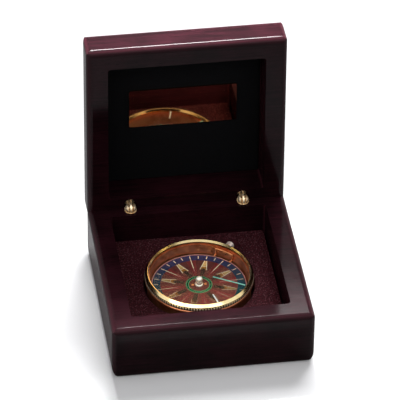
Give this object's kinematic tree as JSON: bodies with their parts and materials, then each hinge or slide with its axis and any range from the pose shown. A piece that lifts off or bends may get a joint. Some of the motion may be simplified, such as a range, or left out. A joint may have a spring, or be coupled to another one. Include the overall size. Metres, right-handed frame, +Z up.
{
  "type": "boxed magnetic compass",
  "caption": "Brass card compass with a turning milled bezel and a card lock, lying in the flocked tray of a hinged lacquered box with a velvet-lined lid.",
  "frame": {"origin": "centre of the flat underside of the box", "axes": "+Z up from the underside, -Y towards the front of the box, hinges at the +Y side, lid open at rest"},
  "size_m": [0.1016, 0.1187, 0.1267],
  "materials": {
    "lacquered_wood": "gloss lacquer",
    "velvet": "matte velvet",
    "plate_brass": "mirror polished",
    "hinge_brass": "polished",
    "flock": "flocked",
    "felt": "matte felt",
    "case_brass": "satin, reddish brass",
    "bezel_brass": "polished",
    "steel": "ground",
    "card_paint": "gloss print",
    "hub_brass": "polished",
    "jewel_red": "clear",
    "copper": "polished",
    "crystal_glass": "clear",
    "line_green": "luminous",
    "line_white": "luminous"
  },
  "bodies": {
    "base": {"box_base": "lacquered_wood", "base_hinge_barrels": "hinge_brass", "hinge_pins": "hinge_brass", "tray": "flock", "well_felt": "felt"},
    "lid": {"box_lid": "lacquered_wood", "lid_panel": "velvet", "lid_plate": "plate_brass", "lid_hinge_barrels": "hinge_brass"},
    "compass": {"compass_case": "case_brass", "pivot_boss": "case_brass", "pivot_pin": "steel"},
    "bezel": {"bezel_ring": "bezel_brass", "crystal": "crystal_glass", "bearing_line": "line_green", "offset_line": "line_white", "crystal_keeper": "case_brass", "bezel_wire": "steel"},
    "card": {"compass_card": "card_paint", "card_hub": "hub_brass", "hub_jewel": "jewel_red", "card_magnets": "steel", "card_rivets": "copper"},
    "lock": {"lock_stud": "bezel_brass", "lock_fork": "case_brass"}
  },
  "joints": [
    {"name": "lid_hinge", "type": "hinge", "parent": "base", "child": "lid", "pos_m": [0, 0.046, 0.0301], "axis": [1, 0, 0], "range_deg": [0, 92]},
    {"name": "compass_lift", "type": "slide", "parent": "base", "child": "compass", "axis": [0, 0, 1], "range_m": [0, 0.021]},
    {"name": "bezel_turn", "type": "hinge", "parent": "compass", "child": "bezel", "pos_m": [0, 0, 0.02], "axis": [0, 0, 1], "continuous": true},
    {"name": "card_turn", "type": "hinge", "parent": "compass", "child": "card", "pos_m": [0, 0, 0.0136], "axis": [0, 0, 1], "continuous": true},
    {"name": "lock_slide", "type": "slide", "parent": "compass", "child": "lock", "axis": [0, 0, -1], "range_m": [0, 0.00105]}
  ]
}
